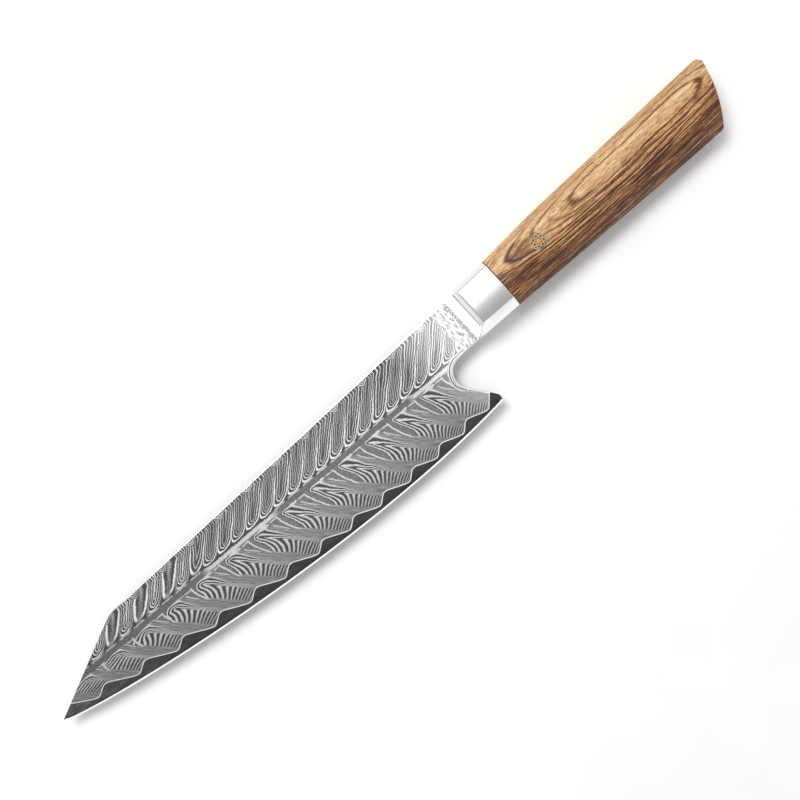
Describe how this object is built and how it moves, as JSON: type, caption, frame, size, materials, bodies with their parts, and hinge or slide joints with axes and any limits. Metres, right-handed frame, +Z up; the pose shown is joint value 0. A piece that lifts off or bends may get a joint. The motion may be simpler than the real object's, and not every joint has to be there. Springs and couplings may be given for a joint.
{
  "type": "chef knife",
  "caption": "Chef knife with a clipped tip, patterned layered steel blade, hooked heel, polished bolster and a slanted hardwood handle with a mosaic pin.",
  "frame": {"origin": "centre of the bounding box in plan, on the surface that the knife lies on", "axes": "+X from the tip to the butt, +Y from the cutting edge to the spine, +Z up out of the knife's left side"},
  "size_m": [0.3408, 0.0452, 0.018],
  "materials": {
    "core_steel": "etched dark grey with a bright honed edge",
    "layered_steel": "etched layered steel, grey with bright lines",
    "tang_steel": "as ground",
    "polished_steel": "polished stainless steel",
    "pakkawood": "oiled laminated hardwood, satin",
    "epoxy": "dark cured epoxy",
    "nickel_silver": "satin",
    "brass": "satin brass",
    "copper": "satin copper",
    "pin_resin": "black resin, ground flush"
  },
  "bodies": {
    "root": {"core_steel": "core_steel", "left_cladding": "layered_steel", "right_cladding": "layered_steel", "tang": "tang_steel", "bolster": "polished_steel", "handle_block": "pakkawood", "tang_adhesive": "epoxy", "pin_outer_tube": "nickel_silver", "pin_center_tube": "copper", "pin_center_rod": "brass", "pin_resin": "pin_resin", "pin_tube_1": "brass", "pin_tube_2": "brass", "pin_tube_3": "brass", "pin_tube_4": "brass", "pin_tube_5": "brass", "pin_tube_6": "brass", "pin_tube_7": "brass", "pin_wire_1": "copper", "pin_wire_2": "copper", "pin_wire_3": "copper", "pin_wire_4": "copper", "pin_wire_5": "copper", "pin_wire_6": "copper", "pin_wire_7": "copper"}
  },
  "joints": []
}
